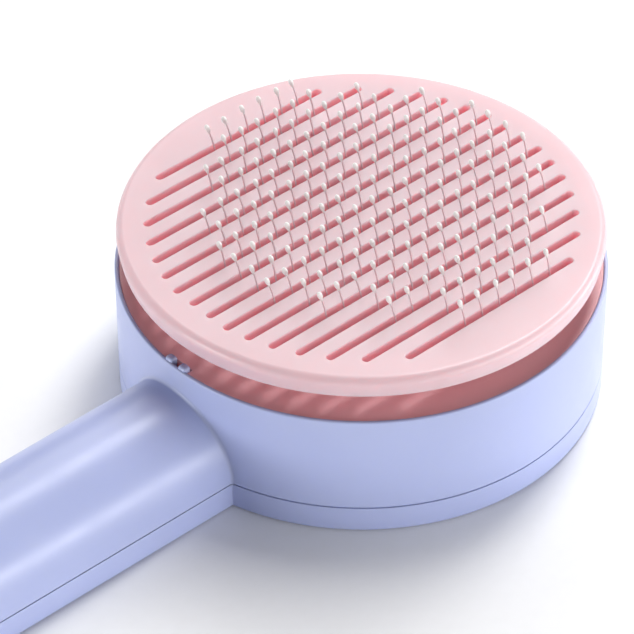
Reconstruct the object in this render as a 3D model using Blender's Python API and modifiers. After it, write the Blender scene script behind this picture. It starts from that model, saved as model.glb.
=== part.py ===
"""Self-cleaning slicker brush: a round needle head with a lift-up cleaning plate, on a hollow handle.

Lengths are in millimetres in this file and become metres in the meshes (MM). The origin lies under the
middle of the whole brush, +X runs along the handle to the head and +Z up from the flat back to the needles.
"""
import math

import bmesh
import bpy
from mathutils import Matrix, Vector

MM = 0.001

# ---- Driving dimensions, millimetres -------------------------------------------------------------
TOTAL_LENGTH = 195.0        # handle tip to the far side of the head
DRUM_RADIUS = 48.0          # outside of the round housing
WALL = 2.2                  # drum wall
SHELL = 2.0                 # handle shell and rear cover thickness
COVER_HEIGHT = 5.6          # rear cover, from the flat back up to the seam
RIM_Z = 27.4                # top of the drum
LIP_WALL = 0.8              # thin lip round the needle bed
FIT = 0.3                   # clearance between pieces that touch or seat
EMBED = 0.5                 # a bonded feature starts this far inside its carrier
OVERRUN = 1.0               # a cut runs this far past the faces it opens
SLIDE_FIT = 0.3             # radial clearance of a sliding or screwed fit

HANDLE_HALF_WIDTH = 14.1    # at the head
HANDLE_TAPER = 0.5          # half-width lost towards the tip
HANDLE_ARCH = 15.8          # height of the arch above the seam
HANDLE_END_LENGTH = 17.0    # rounded end
HANDLE_ROOT = 8.0           # the handle's form runs this far into the drum

BED_THICKNESS = 2.4
NUB_WIDTH = 2.0             # the two guide nubs beside the bed's notch
NUB_GAP = 1.7
NUB_RISE = 0.5              # above the rim
NUB_DEPTH = 1.7
NUB_ROOT = 3.0              # bonded to the drum wall over this height below the ledge

PLATE_RADIUS = 47.5         # cleaning plate
PLATE_THICKNESS = 4.6
PLATE_EDGE_RADIUS = 0.8     # round of the upper edge; the plate is widest just below it
PLATE_EDGE_DRAFT = 0.7      # the lower edge is this much smaller in radius
PLATE_STANDOFF = 5.4        # rim to the plate's underside, released
LIFT = 6.6                  # plate travel that brings the needle tips flush

ROW_PITCH = 4.78            # slots and needle rows, across the head
ROW_COUNTS = (6, 6, 10, 10, 14, 14, 16, 16, 16, 16, 14, 14, 10, 10, 6, 6)
SLOT_WIDTH = 1.6
SLOT_FIELD_RADIUS = 41.8    # the slots end on this circle
SLOT_MAX_HALF_LENGTH = 41.2

NEEDLE_PITCH = 4.41         # along a row
NEEDLE_FIELD_X = 4.5        # middle of the needle field, ahead of the head's axis
NEEDLE_LEAN = 2.4           # the tips lean this much towards the handle
NEEDLE_BEND_DROP = 1.0      # the lean starts this far below the released plate
NEEDLE_WIRE = 0.4
NEEDLE_TIP_DIAMETER = 1.1
NEEDLE_TIP_LENGTH = 1.8
BED_SLOT_WIDTH = 1.0
STRIP_WIDTH = 1.2
STRIP_HEIGHT = 1.2
STRIP_OVERHANG = 0.8

POST_SPREAD_X = 26.0        # cleaning plate posts, either side of the needle field's middle
POST_BAY = 5.0              # rows from the middle line, so a post stands under a rib between two slots
POST_RADIUS = 2.3
POST_SHOULDER_RADIUS = 3.2
POST_SHOULDER_HEIGHT = 3.0
POST_BLADE_LENGTH = 8.0
POST_BLADE_WIDTH = 2.8

BACKING_THICKNESS = 1.5
BACKING_CLEARANCE = 1.2     # to the drum's bore
SEAT_RADIUS = 5.5           # spring seat under the backing plate
SEAT_HEIGHT = 2.0
FRAME_THICKNESS = 2.0
FRAME_CLEARANCE = 0.45      # left above the frame at the end of the lift
FRAME_ARM_WIDTH = 6.0
FRAME_ARM_INSET = 0.2       # the arms' faces lie this far inside the hub's
FRAME_PAD_RADIUS = 3.8
FRAME_HUB_RADIUS = 13.0
WELL_RADIUS = 10.5          # spring well, outside
WELL_WALL = 2.0
WELL_FLOOR_Z = 4.7

BUTTON_RADIUS = 15.0
BUTTON_RECESS = 0.4         # the button's face sits this far inside the flat back
BUTTON_FLOOR = 2.0
BUTTON_WALL = 1.6
BUTTON_DISH = 0.7           # hollow of the face at its middle
BUTTON_MID_DISH = 0.56      # and at half its radius
BUTTON_FACE_RIM = 2.5       # flat ring round the hollow, chamfer included
BUTTON_CHAMFER = 0.5
BUTTON_SKIN = 0.6           # left under the screw's pilot
BUTTON_FLANGE = 2.0
BUTTON_FLANGE_HEIGHT = 1.6
BUTTON_HEIGHT = 9.4
BUTTON_BOSS_RADIUS = 3.4
BUTTON_BOSS_HEIGHT = 2.0
BUTTON_GAP = 0.4            # between the button and its opening

SPRING_RADIUS = 6.6         # mean radius of the coil
SPRING_WIRE = 1.0
SPRING_TURNS = 5.5

BED_POST_RADIUS = 2.3
BED_SKIN = 1.0              # left above the backing screws' pilots
BACKING_SCREW_SPREAD_X = 23.5
BACKING_SCREW_Y = 30.5
BACKING_BOSS_RADIUS = 2.0
HANDLE_SCREW_FROM_DRUM = 24.0
HANDLE_SCREW_FROM_TIP = 29.0
HANDLE_BOSS_RADIUS = 3.4

COVER_BOSS_RADIUS = 3.6
COVER_BOSS_TOP = 4.5
COUNTERBORE_RADIUS = 2.7
COUNTERBORE_DEPTH = 2.5
COVER_LIP = 1.2             # locating lip inside the drum wall
COVER_LIP_RISE = 1.8

COVER_SCREW_RADIUS = 1.0    # shank, and the head's radius below
COVER_SCREW_HEAD = 2.2
COVER_SCREW_BITE = 8.0      # length held by the post
PLATE_SCREW_RADIUS = 0.9
PLATE_SCREW_HEAD = 2.0
PLATE_SCREW_BITE = 6.0
PILOT_SPARE = 0.5           # room past a screw's tip
BACKING_SCREW_RADIUS = 0.8
BACKING_SCREW_HEAD = 1.8
BUTTON_SCREW_RADIUS = 1.25
BUTTON_SCREW_HEAD = 2.3
SCREW_HEAD_HEIGHT = 1.4
SCREW_SLOT_DEPTH = 0.6
SCREW_SLOT_WIDTH = 0.6

ROUND_STEPS = 60            # facets of the large turned pieces
MIDDLE_STEPS = 36           # facets of the button, its opening, the frame's hub and the spring seat
SMALL_STEPS = 12            # facets of posts and holes
ARCH_STEPS = 16             # facets of the handle's arch
SLOT_END_STEPS = 4
SCREW_STEPS = 10
COIL_STEPS = 12             # points in one turn of the spring

# ---- Worked-out positions ------------------------------------------------------------------------
HEAD_X = TOTAL_LENGTH / 2 - DRUM_RADIUS
HANDLE_TIP = TOTAL_LENGTH - DRUM_RADIUS          # distance of the handle's tip from the head's axis
SEAM_Z = COVER_HEIGHT + FIT
DRUM_BORE = DRUM_RADIUS - WALL
LIP_BORE = DRUM_RADIUS - LIP_WALL
BED_TOP = RIM_Z - FIT
BED_BOTTOM = BED_TOP - BED_THICKNESS
LEDGE_Z = BED_BOTTOM - FIT
STRIP_TOP = BED_BOTTOM - FIT
STRIP_BOTTOM = STRIP_TOP - STRIP_HEIGHT
BACKING_TOP = STRIP_BOTTOM - FIT
BACKING_BOTTOM = BACKING_TOP - BACKING_THICKNESS
FRAME_TOP = BACKING_BOTTOM - LIFT - FRAME_CLEARANCE
FRAME_BOTTOM = FRAME_TOP - FRAME_THICKNESS
PLATE_BOTTOM = RIM_Z + PLATE_STANDOFF
PLATE_TOP = PLATE_BOTTOM + PLATE_THICKNESS
NEEDLE_TOP = PLATE_TOP + LIFT
POST_FOOT = FRAME_TOP + FIT
POST_Y = POST_BAY * ROW_PITCH
WELL_BORE = WELL_RADIUS - WELL_WALL
WELL_FLOOR_TOP = WELL_FLOOR_Z + FRAME_THICKNESS
BUTTON_FLOOR_TOP = BUTTON_RECESS + BUTTON_FLOOR
COVER_FLOOR = SHELL
OPENING_RADIUS = BUTTON_RADIUS + BUTTON_GAP
COVER_LIP_OUTER = DRUM_BORE - FIT
COVER_LIP_INNER = COVER_LIP_OUTER - COVER_LIP
BED_POST_CIRCLE = COVER_LIP_INNER - FIT - BED_POST_RADIUS
NUB_OUTER = DRUM_RADIUS - LIP_WALL / 2
COVER_SCREW_TIP = COVER_BOSS_TOP + COVER_SCREW_BITE
PLATE_SCREW_TIP = POST_FOOT + PLATE_SCREW_BITE
BUTTON_PILOT_FLOOR = BUTTON_RECESS + BUTTON_DISH + BUTTON_SKIN

POSTS = [(NEEDLE_FIELD_X + sx * POST_SPREAD_X, sy * POST_Y) for sx in (-1, 1) for sy in (-1, 1)]
BACKING_SCREWS = [(NEEDLE_FIELD_X + sx * BACKING_SCREW_SPREAD_X, sy * BACKING_SCREW_Y)
                  for sx in (-1, 1) for sy in (-1, 1)]
BED_POSTS = [(BED_POST_CIRCLE, 0.0), (0.0, BED_POST_CIRCLE),
             (-BED_POST_CIRCLE, 0.0), (0.0, -BED_POST_CIRCLE)]
HANDLE_BOSSES = [(-DRUM_RADIUS - HANDLE_SCREW_FROM_DRUM, 0.0), (HANDLE_SCREW_FROM_TIP - HANDLE_TIP, 0.0)]


# ---- Scene and materials -------------------------------------------------------------------------
def empty_scene():
    for obj in list(bpy.data.objects):
        bpy.data.objects.remove(obj, do_unlink=True)


def new_collection(name):
    collection = bpy.data.collections.new(name)
    bpy.context.scene.collection.children.link(collection)
    return collection


def new_material(name, colour, roughness, metallic=0.0):
    material = bpy.data.materials.new(name)
    material.use_nodes = True
    shader = material.node_tree.nodes["Principled BSDF"]
    shader.inputs["Base Color"].default_value = (*colour, 1.0)
    shader.inputs["Roughness"].default_value = roughness
    shader.inputs["Metallic"].default_value = metallic
    material.diffuse_color = (*colour, 1.0)
    return material


empty_scene()
PARTS = new_collection("slicker_brush")
CUTTERS = new_collection("cutters")
LAVENDER = new_material("lavender_plastic", (0.50, 0.57, 0.87), 0.35)
PINK = new_material("pink_plastic", (0.88, 0.62, 0.66), 0.35)
STEEL = new_material("needle_steel", (0.55, 0.53, 0.52), 0.35, 1.0)
ZINC = new_material("screw_steel", (0.60, 0.60, 0.58), 0.4, 1.0)
SPRING_STEEL = new_material("spring_steel", (0.45, 0.45, 0.46), 0.3, 1.0)


# ---- Modelling helpers: every shape is given around the head's axis, in millimetres --------------
def at_head(x, y, z=0.0):
    return Vector((HEAD_X + x, y, z)) * MM


def add_mesh(name, mesh, collection, place=(0.0, 0.0), material=None):
    obj = bpy.data.objects.new(name, mesh)
    collection.objects.link(obj)
    obj.location = at_head(*place)
    if material:
        mesh.materials.append(material)
    if collection is CUTTERS:
        obj.hide_render = True
        obj.display_type = "WIRE"
    return obj


def bmesh_to_mesh(name, bm):
    bmesh.ops.recalc_face_normals(bm, faces=bm.faces)
    mesh = bpy.data.meshes.new(name)
    bm.to_mesh(mesh)
    bm.free()
    return mesh


def rods(name, places, radius, z0, z1, collection=CUTTERS, steps=SMALL_STEPS, material=None):
    """One mesh with an upright cylinder at each place."""
    bm = bmesh.new()
    for x, y in places:
        middle = Matrix.Translation(Vector((x, y, (z0 + z1) / 2)) * MM)
        bmesh.ops.create_cone(bm, cap_ends=True, segments=steps, radius1=radius * MM, radius2=radius * MM,
                              depth=(z1 - z0) * MM, matrix=middle)
    return add_mesh(name, bmesh_to_mesh(name, bm), collection, material=material)


def blocks(name, boxes, collection=CUTTERS, material=None):
    """One mesh with a block for each (x0, x1, y0, y1, z0, z1)."""
    bm = bmesh.new()
    for x0, x1, y0, y1, z0, z1 in boxes:
        middle = Vector(((x0 + x1) / 2, (y0 + y1) / 2, (z0 + z1) / 2)) * MM
        size = Vector((x1 - x0, y1 - y0, z1 - z0)) * MM
        place = Matrix.Translation(middle) @ Matrix.Diagonal((*size, 1.0))
        bmesh.ops.create_cube(bm, size=1.0, matrix=place)
    return add_mesh(name, bmesh_to_mesh(name, bm), collection, material=material)


def turned(name, profile, collection=CUTTERS, place=(0.0, 0.0), steps=ROUND_STEPS, material=None):
    """Turn an (radius, height) profile that runs down its outer side; one off the axis is a closed ring."""
    mesh = bpy.data.meshes.new(name)
    points = [(radius * MM, 0.0, height * MM) for radius, height in profile]
    edges = [(i, i + 1) for i in range(len(points) - 1)]
    if profile[0][0] > 0.0:
        edges.append((len(points) - 1, 0))
    mesh.from_pydata(points, edges, [])
    obj = add_mesh(name, mesh, collection, place, material)
    screw = obj.modifiers.new("turn", "SCREW")
    screw.angle = 2 * math.pi
    screw.steps = steps
    screw.render_steps = steps
    screw.use_merge_vertices = True
    screw.merge_threshold = 0.00001
    screw.use_smooth_shade = False
    return obj


def outline_solid(name, outlines, z0, z1, collection=CUTTERS, material=None):
    """Flat outlines raised from z0 to z1, one closed body for each outline."""
    curve = bpy.data.curves.new(name + "_outline", "CURVE")
    curve.dimensions = "2D"
    curve.fill_mode = "BOTH"
    curve.extrude = (z1 - z0) / 2 * MM
    for outline in outlines:
        spline = curve.splines.new("POLY")
        spline.points.add(len(outline) - 1)
        spline.use_cyclic_u = True
        for point, (x, y) in zip(spline.points, outline):
            point.co = (x * MM, y * MM, 0.0, 1.0)
    guide = add_mesh(name + "_outline", curve, CUTTERS)
    guide.location = at_head(0.0, 0.0, (z0 + z1) / 2)
    bpy.context.view_layer.update()
    evaluated = guide.evaluated_get(bpy.context.evaluated_depsgraph_get())
    mesh = bpy.data.meshes.new_from_object(evaluated)
    place = guide.matrix_world.copy()
    bpy.data.objects.remove(guide)
    bm = bmesh.new()
    bm.from_mesh(mesh)
    bmesh.ops.remove_doubles(bm, verts=bm.verts, dist=0.000001)
    bmesh.ops.dissolve_limit(bm, angle_limit=math.radians(0.1), verts=bm.verts, edges=bm.edges)
    obj = add_mesh(name, bmesh_to_mesh(name, bm), collection, material=material)
    obj.matrix_world = place
    return obj


def boolean(obj, other, operation):
    modifier = obj.modifiers.new(other.name, "BOOLEAN")
    modifier.operation = operation
    modifier.object = other
    modifier.solver = "EXACT"


def cut(obj, *cutters):
    for cutter in cutters:
        boolean(obj, cutter, "DIFFERENCE")


def join(obj, *others):
    for other in others:
        boolean(obj, other, "UNION")


# ---- Handle and plan shapes ----------------------------------------------------------------------
def handle_end_factor(distance, inset=0.0):
    """1 along the handle and down to 0 at its tip, as a quarter ellipse."""
    into_end = distance - (HANDLE_TIP - HANDLE_END_LENGTH)
    reach = HANDLE_END_LENGTH - inset
    if into_end <= 0.0:
        return 1.0
    return math.sqrt(max(0.0, 1.0 - (into_end / reach) ** 2))


def handle_half_width(distance, inset=0.0):
    along = (distance - DRUM_RADIUS) / (HANDLE_TIP - DRUM_RADIUS)
    width = HANDLE_HALF_WIDTH - HANDLE_TAPER * max(0.0, along) - inset
    return width * handle_end_factor(distance, inset)


def handle_arch(distance, inset=0.0):
    return (HANDLE_ARCH - inset) * handle_end_factor(distance, inset)


def handle_stations(first, inset=0.0):
    """Distances from the head's axis of the handle's sections, closer together round the end."""
    end_start = HANDLE_TIP - HANDLE_END_LENGTH
    reach = HANDLE_END_LENGTH - inset
    around = [end_start + reach * math.sin(math.radians(angle)) for angle in range(0, 90, 15)]
    return [first, (first + end_start) / 2] + around + [end_start + reach * math.sin(math.radians(85))]


def handle_loft(name, first, inset, skirt):
    """Arched solid along -X: half-ellipse sections, on short straight sides as high as the skirt."""
    bm = bmesh.new()
    rings = []
    for distance in handle_stations(first, inset):
        width = handle_half_width(distance, inset)
        arch = handle_arch(distance, inset)
        section = [(width, SEAM_Z - skirt)] if skirt else []
        for i in range(ARCH_STEPS + 1):
            angle = math.pi * i / ARCH_STEPS
            section.append((width * math.cos(angle), SEAM_Z + arch * math.sin(angle)))
        if skirt:
            section.append((-width, SEAM_Z - skirt))
        rings.append([bm.verts.new(Vector((-distance, y, z)) * MM) for y, z in section])
    for near, far in zip(rings, rings[1:]):
        for i in range(len(near)):
            j = (i + 1) % len(near)
            bm.faces.new((near[i], near[j], far[j], far[i]))
    bm.faces.new(rings[0])
    bm.faces.new(rings[-1])
    return add_mesh(name, bmesh_to_mesh(name, bm), CUTTERS)


def plan_outline(inset=0.0):
    """Outline of the whole back: the round head joined to the handle with its rounded end."""
    radius = DRUM_RADIUS - inset
    width = HANDLE_HALF_WIDTH - inset
    meet = math.pi - math.asin(width / radius)
    head = [(radius * math.cos(a), radius * math.sin(a))
            for a in (-meet + 2 * meet * i / ROUND_STEPS for i in range(ROUND_STEPS + 1))]
    side = [(-d, handle_half_width(d, inset)) for d in handle_stations(DRUM_RADIUS + SHELL, inset)]
    tip = [(-(HANDLE_TIP - inset), 0.0)]
    return head + side + tip + [(x, -y) for x, y in reversed(side)]


def row_y(row):
    return (row - (len(ROW_COUNTS) - 1) / 2) * ROW_PITCH


def needle_xs(row):
    count = ROW_COUNTS[row]
    return [NEEDLE_FIELD_X + (i - (count - 1) / 2) * NEEDLE_PITCH for i in range(count)]


# ---- The housing ---------------------------------------------------------------------------------
def make_front_housing():
    drum = [(0.0, RIM_Z), (DRUM_RADIUS, RIM_Z), (DRUM_RADIUS, SEAM_Z), (0.0, SEAM_Z)]
    body = turned("front_housing", drum, PARTS, material=LAVENDER)
    join(body, handle_loft("handle_outside", DRUM_RADIUS - HANDLE_ROOT, 0.0, 0.0))
    above, below = RIM_Z + OVERRUN, SEAM_Z - OVERRUN
    bore = turned("drum_bore", [(0.0, above), (LIP_BORE, above), (LIP_BORE, LEDGE_Z),
                                (DRUM_BORE, LEDGE_Z), (DRUM_BORE, below), (0.0, below)])
    cut(body, bore, handle_loft("handle_hollow", DRUM_RADIUS + SHELL, SHELL, OVERRUN))
    boss_bottom, boss_top = COVER_BOSS_TOP + FIT, SEAM_Z + HANDLE_ARCH - SHELL / 2
    join(body, rods("handle_bosses", HANDLE_BOSSES, HANDLE_BOSS_RADIUS, boss_bottom, boss_top))
    cut(body, rods("handle_pilots", HANDLE_BOSSES, COVER_SCREW_RADIUS + SLIDE_FIT, boss_bottom - OVERRUN,
                   COVER_SCREW_TIP + PILOT_SPARE))
    sides = [(NUB_GAP / 2, NUB_GAP / 2 + NUB_WIDTH), (-NUB_GAP / 2 - NUB_WIDTH, -NUB_GAP / 2)]
    outer, inner = -NUB_OUTER, -NUB_OUTER + NUB_DEPTH
    join(body, blocks("nubs", [(outer, inner, y0, y1, LEDGE_Z - NUB_ROOT, RIM_Z + NUB_RISE)
                               for y0, y1 in sides]))
    return body


def make_rear_cover():
    cover = outline_solid("rear_cover", [plan_outline()], 0.0, COVER_HEIGHT, PARTS, LAVENDER)
    cut(cover, outline_solid("cover_hollow", [plan_outline(SHELL)], COVER_FLOOR, COVER_HEIGHT + OVERRUN))
    root = DRUM_RADIUS - SHELL / 2
    root_top = COVER_HEIGHT - EMBED
    lip_top = COVER_HEIGHT + COVER_LIP_RISE
    lip = turned("cover_lip", [(COVER_LIP_OUTER, lip_top), (COVER_LIP_OUTER, root_top), (root, root_top),
                               (root, COVER_FLOOR / 2), (COVER_LIP_INNER, COVER_FLOOR / 2),
                               (COVER_LIP_INNER, lip_top)])
    join(cover, lip)
    places = BED_POSTS + HANDLE_BOSSES
    join(cover, rods("cover_bosses", places, COVER_BOSS_RADIUS, COVER_FLOOR / 2, COVER_BOSS_TOP))
    cut(cover,
        rods("cover_counterbores", places, COUNTERBORE_RADIUS, -OVERRUN, COUNTERBORE_DEPTH),
        rods("cover_screw_holes", places, COVER_SCREW_RADIUS + SLIDE_FIT, COUNTERBORE_DEPTH - OVERRUN,
             COVER_BOSS_TOP + OVERRUN),
        rods("button_opening", [(0.0, 0.0)], OPENING_RADIUS, -OVERRUN, COVER_FLOOR + OVERRUN,
             steps=MIDDLE_STEPS))
    return cover


# ---- Needle bed, rows and backing plate ----------------------------------------------------------
def make_needle_bed():
    bed = rods("needle_bed", [(0.0, 0.0)], LIP_BORE - FIT, BED_BOTTOM, BED_TOP, PARTS, ROUND_STEPS, PINK)
    join(bed,
         rods("bed_posts", BED_POSTS, BED_POST_RADIUS, COVER_BOSS_TOP + FIT, BED_BOTTOM + EMBED),
         rods("bed_bosses", BACKING_SCREWS, BACKING_BOSS_RADIUS, BACKING_TOP + FIT, BED_BOTTOM + EMBED))
    low, high = BED_BOTTOM - OVERRUN, BED_TOP + OVERRUN
    half_slot = BED_SLOT_WIDTH / 2
    reach = NEEDLE_WIRE / 2 + FIT
    slots = []
    for row in range(len(ROW_COUNTS)):
        xs = needle_xs(row)
        y = row_y(row)
        slots.append((xs[0] - reach, xs[-1] + reach, y - half_slot, y + half_slot, low, high))
    half_notch = NUB_GAP / 2 + NUB_WIDTH + FIT
    notch = (-DRUM_RADIUS, -NUB_OUTER + NUB_DEPTH + FIT, -half_notch, half_notch, low, high)
    cut(bed,
        blocks("bed_slots", slots + [notch]),
        rods("bed_guides", POSTS, POST_RADIUS + SLIDE_FIT, low, high),
        rods("bed_post_pilots", BED_POSTS, COVER_SCREW_RADIUS + SLIDE_FIT, 0.0,
             COVER_SCREW_TIP + PILOT_SPARE),
        rods("bed_boss_pilots", BACKING_SCREWS, BACKING_SCREW_RADIUS + SLIDE_FIT, 0.0, BED_TOP - BED_SKIN))
    return bed


def make_needle_row(row):
    """A row of three-sided wires: upright in the bed, bent towards the handle, with drop-shaped tips."""
    sides = [math.radians(angle) for angle in (0, 120, 240)]
    y = row_y(row)
    xs = needle_xs(row)
    bend_z = PLATE_BOTTOM - NEEDLE_BEND_DROP
    neck_z = NEEDLE_TOP - NEEDLE_TIP_LENGTH
    belly_z = NEEDLE_TOP - NEEDLE_TIP_LENGTH / 2
    half_wire = NEEDLE_WIRE / 2
    count = len(sides)
    bm = bmesh.new()
    for x in xs:
        lean = -NEEDLE_LEAN / (NEEDLE_TOP - bend_z)
        levels = [(0.0, STRIP_BOTTOM + STRIP_HEIGHT / 2, half_wire), (0.0, bend_z, half_wire),
                  (lean * (neck_z - bend_z), neck_z, half_wire),
                  (lean * (belly_z - bend_z), belly_z, NEEDLE_TIP_DIAMETER / 2)]
        rings = []
        for shift, z, half in levels:
            corners = [(x + shift + half * math.cos(a), y + half * math.sin(a), z) for a in sides]
            rings.append([bm.verts.new(Vector(corner) * MM) for corner in corners])
        for low, high in zip(rings, rings[1:]):
            for i in range(count):
                j = (i + 1) % count
                bm.faces.new((low[i], low[j], high[j], high[i]))
        apex = bm.verts.new(Vector((x - NEEDLE_LEAN, y, NEEDLE_TOP)) * MM)
        for i in range(count):
            bm.faces.new((rings[-1][i], rings[-1][(i + 1) % count], apex))
        bm.faces.new(rings[0])
    name = "needle_row_%02d" % (row + 1)
    needles = add_mesh(name + "_needles", bmesh_to_mesh(name + "_needles", bm), CUTTERS)
    strip = blocks(name, [(xs[0] - STRIP_OVERHANG, xs[-1] + STRIP_OVERHANG, y - STRIP_WIDTH / 2,
                           y + STRIP_WIDTH / 2, STRIP_BOTTOM, STRIP_TOP)], PARTS, STEEL)
    join(strip, needles)
    return strip


def make_backing_plate():
    plate = rods("needle_backing_plate", [(0.0, 0.0)], DRUM_BORE - BACKING_CLEARANCE, BACKING_BOTTOM,
                 BACKING_TOP, PARTS, ROUND_STEPS, LAVENDER)
    join(plate, rods("spring_seat", [(0.0, 0.0)], SEAT_RADIUS, BACKING_BOTTOM - SEAT_HEIGHT,
                     BACKING_BOTTOM + EMBED, steps=MIDDLE_STEPS))
    low, high = BACKING_BOTTOM - OVERRUN, BACKING_TOP + OVERRUN
    cut(plate,
        rods("backing_post_holes", POSTS, POST_RADIUS + SLIDE_FIT, low, high),
        rods("backing_bed_post_holes", BED_POSTS, BED_POST_RADIUS + SLIDE_FIT, low, high),
        rods("backing_screw_holes", BACKING_SCREWS, BACKING_SCREW_RADIUS + SLIDE_FIT, low, high))
    return plate


# ---- The ejector: cleaning plate, frame and button, on one sliding axis --------------------------
def slot_outline(row):
    y = row_y(row)
    reach = min(math.sqrt(SLOT_FIELD_RADIUS ** 2 - y ** 2), SLOT_MAX_HALF_LENGTH) - SLOT_WIDTH / 2
    points = []
    for side in (1, -1):
        for i in range(SLOT_END_STEPS + 1):
            angle = side * (-math.pi / 2) + math.pi * i / SLOT_END_STEPS
            points.append((side * reach + SLOT_WIDTH / 2 * math.cos(angle),
                           y + SLOT_WIDTH / 2 * math.sin(angle)))
    return points


def make_cleaning_plate():
    slope = PLATE_EDGE_DRAFT / (PLATE_THICKNESS - PLATE_EDGE_RADIUS)
    lower = PLATE_RADIUS - PLATE_EDGE_DRAFT
    upper = lower + slope * PLATE_THICKNESS
    middle = Matrix.Translation(Vector((0.0, 0.0, (PLATE_BOTTOM + PLATE_TOP) / 2)) * MM)
    bm = bmesh.new()
    bmesh.ops.create_cone(bm, cap_ends=True, segments=ROUND_STEPS, radius1=lower * MM, radius2=upper * MM,
                          depth=PLATE_THICKNESS * MM, matrix=middle)
    top_edges = [edge for edge in bm.edges if min(v.co.z for v in edge.verts) > middle.translation.z]
    bmesh.ops.bevel(bm, geom=top_edges, offset=PLATE_EDGE_RADIUS * MM, segments=3, profile=0.5,
                    affect="EDGES")
    plate = add_mesh("cleaning_plate", bmesh_to_mesh("cleaning_plate", bm), PARTS, material=PINK)
    shoulder_bottom = BED_TOP + FIT
    shoulder_top = shoulder_bottom + POST_SHOULDER_HEIGHT
    half_length, half_width = POST_BLADE_LENGTH / 2, POST_BLADE_WIDTH / 2
    blades = blocks("plate_blades", [(x - half_length, x + half_length, y - half_width, y + half_width,
                                      shoulder_top - EMBED, PLATE_BOTTOM + EMBED) for x, y in POSTS])
    join(plate, blades,
         rods("plate_shoulders", POSTS, POST_SHOULDER_RADIUS, shoulder_bottom, shoulder_top),
         rods("plate_posts", POSTS, POST_RADIUS, POST_FOOT, shoulder_bottom + EMBED))
    cut(plate,
        outline_solid("plate_slots", [slot_outline(row) for row in range(len(ROW_COUNTS))],
                      PLATE_BOTTOM - OVERRUN, PLATE_TOP + OVERRUN),
        rods("plate_pilots", POSTS, PLATE_SCREW_RADIUS + SLIDE_FIT, POST_FOOT - OVERRUN,
             PLATE_SCREW_TIP + PILOT_SPARE))
    return plate


def make_ejector_frame():
    frame = rods("ejector_frame", [(0.0, 0.0)], FRAME_HUB_RADIUS, FRAME_BOTTOM, FRAME_TOP, PARTS,
                 MIDDLE_STEPS, LAVENDER)
    arms = []
    for x, y in POSTS:
        length = math.hypot(x, y)
        along = Vector((x / length, y / length))
        side = Vector((-along.y, along.x)) * FRAME_ARM_WIDTH / 2
        start = along * WELL_RADIUS
        end = Vector((x, y))
        arms.append([start - side, end - side, end + side, start + side])
    join(frame,
         outline_solid("frame_arms", arms, FRAME_BOTTOM + FRAME_ARM_INSET, FRAME_TOP - FRAME_ARM_INSET),
         rods("frame_pads", POSTS, FRAME_PAD_RADIUS, FRAME_BOTTOM, FRAME_TOP),
         rods("frame_well", [(0.0, 0.0)], WELL_RADIUS, WELL_FLOOR_Z, FRAME_BOTTOM + EMBED,
              steps=MIDDLE_STEPS))
    cut(frame,
        rods("frame_well_bore", [(0.0, 0.0)], WELL_BORE, WELL_FLOOR_TOP, FRAME_TOP + OVERRUN,
             steps=MIDDLE_STEPS),
        rods("frame_button_hole", [(0.0, 0.0)], BUTTON_SCREW_RADIUS + SLIDE_FIT, WELL_FLOOR_Z - OVERRUN,
             WELL_FLOOR_TOP + OVERRUN),
        rods("frame_screw_holes", POSTS, PLATE_SCREW_RADIUS + SLIDE_FIT, FRAME_BOTTOM - OVERRUN,
             FRAME_TOP + OVERRUN))
    return frame


def make_push_button():
    top = BUTTON_RECESS + BUTTON_HEIGHT
    bore = BUTTON_RADIUS - BUTTON_WALL
    flange = BUTTON_RADIUS + BUTTON_FLANGE
    flange_bottom = COVER_FLOOR + FIT
    flange_top = flange_bottom + BUTTON_FLANGE_HEIGHT
    profile = [(0.0, BUTTON_FLOOR_TOP), (bore, BUTTON_FLOOR_TOP), (bore, top), (BUTTON_RADIUS, top),
               (BUTTON_RADIUS, flange_top), (flange, flange_top), (flange, flange_bottom),
               (BUTTON_RADIUS, flange_bottom), (BUTTON_RADIUS, BUTTON_RECESS + BUTTON_CHAMFER),
               (BUTTON_RADIUS - BUTTON_CHAMFER, BUTTON_RECESS),
               (BUTTON_RADIUS - BUTTON_FACE_RIM, BUTTON_RECESS),
               (BUTTON_RADIUS / 2, BUTTON_RECESS + BUTTON_MID_DISH), (0.0, BUTTON_RECESS + BUTTON_DISH)]
    button = turned("push_button", profile, PARTS, steps=MIDDLE_STEPS, material=PINK)
    boss_top = BUTTON_FLOOR_TOP + BUTTON_BOSS_HEIGHT
    join(button, rods("button_boss", [(0.0, 0.0)], BUTTON_BOSS_RADIUS, BUTTON_FLOOR_TOP - EMBED, boss_top))
    cut(button, rods("button_pilot", [(0.0, 0.0)], BUTTON_SCREW_RADIUS + SLIDE_FIT, BUTTON_PILOT_FLOOR,
                     boss_top + OVERRUN))
    return button


def make_return_spring():
    low = WELL_FLOOR_TOP + FIT + SPRING_WIRE / 2
    high = BACKING_BOTTOM - FIT - SPRING_WIRE / 2
    count = int(SPRING_TURNS * COIL_STEPS) + 1
    curve = bpy.data.curves.new("return_spring_wire", "CURVE")
    curve.dimensions = "3D"
    curve.bevel_depth = SPRING_WIRE / 2 * MM
    curve.bevel_resolution = 1
    curve.use_fill_caps = True
    spline = curve.splines.new("POLY")
    spline.points.add(count - 1)
    for i, point in enumerate(spline.points):
        turn = i / COIL_STEPS
        angle = 2 * math.pi * turn
        # half a turn at each end lies flat, the rest climbs evenly
        climb = min(1.0, max(0.0, (turn - 0.5) / (SPRING_TURNS - 1.0)))
        point.co = (SPRING_RADIUS * math.cos(angle) * MM, SPRING_RADIUS * math.sin(angle) * MM,
                    (low + (high - low) * climb) * MM, 1.0)
    spring = add_mesh("return_spring", curve, PARTS)
    curve.materials.append(SPRING_STEEL)
    return spring


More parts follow.
